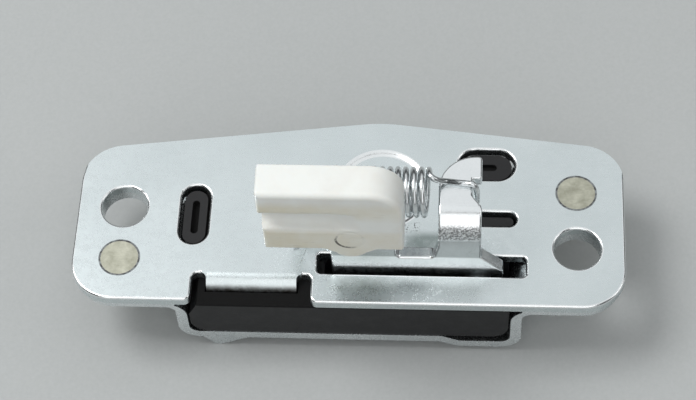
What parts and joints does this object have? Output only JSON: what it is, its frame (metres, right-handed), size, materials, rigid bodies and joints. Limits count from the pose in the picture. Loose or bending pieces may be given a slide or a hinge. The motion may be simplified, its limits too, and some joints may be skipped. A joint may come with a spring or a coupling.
{
  "type": "van door latch",
  "caption": "Plate-mounted rotary door latch: sheet case with turning claw, rocking release lever, return spring and plastic rod clip.",
  "frame": {"origin": "midway between the two mounting holes, on the cover plate's upper face", "axes": "+X along the plate to the right of the pictured view, +Y towards the plate's roof-shaped rear edge, +Z out of the plate towards the lever"},
  "size_m": [0.102, 0.0392, 0.0524],
  "materials": {
    "zinc_plate": "bright zinc plating, satin",
    "zinc_case": "bright zinc plating, satin",
    "zinc_lever": "bright zinc plating, satin",
    "bare_steel": "bare sheared steel, rough",
    "pin_steel": "plated steel",
    "claw_steel": "hardened steel",
    "spring_steel": "bright wire",
    "white_plastic": "off-white moulding",
    "black_plastic": "black moulding",
    "black_rubber": "black rubber"
  },
  "bodies": {
    "latch_body": {"mounting_plate": "zinc_plate", "case_shell": "zinc_case", "case_liner": "black_plastic", "rivet_left": "bare_steel", "rivet_right": "bare_steel", "lever_pin": "pin_steel", "spring_anchor": "zinc_lever", "anchor_rivet": "pin_steel", "claw_stud": "pin_steel", "stud_washer": "pin_steel", "claw_spring": "spring_steel", "claw_stop_bumper": "black_rubber", "mouth_bumper": "black_rubber", "lever_stop_block": "black_rubber"},
    "lever": {"release_lever": "zinc_lever", "return_spring": "spring_steel"},
    "clip": {"rod_clip": "white_plastic"},
    "claw": {"catch_claw": "claw_steel", "claw_jacket": "black_plastic", "claw_bush": "white_plastic"}
  },
  "joints": [
    {"name": "lever_turn", "type": "hinge", "parent": "latch_body", "child": "lever", "pos_m": [0.024, -0.00775, -0.0051], "axis": [0, 1, 0], "range_deg": [0, 16], "stiffness_Nm_per_rad": 0.25, "springref_deg": -22.92, "deforming": ["return_spring"]},
    {"name": "clip_swivel", "type": "hinge", "parent": "lever", "child": "clip", "pos_m": [0.0018, -0.0124, 0.0215], "axis": [0, 1, 0], "range_deg": [0, 90]},
    {"name": "claw_turn", "type": "hinge", "parent": "latch_body", "child": "claw", "pos_m": [0.0059, 0.0085, -0.008], "axis": [0, 0, 1], "range_deg": [0, 58], "stiffness_Nm_per_rad": 0.05, "springref_deg": -34.38, "deforming": ["claw_spring"]}
  ]
}
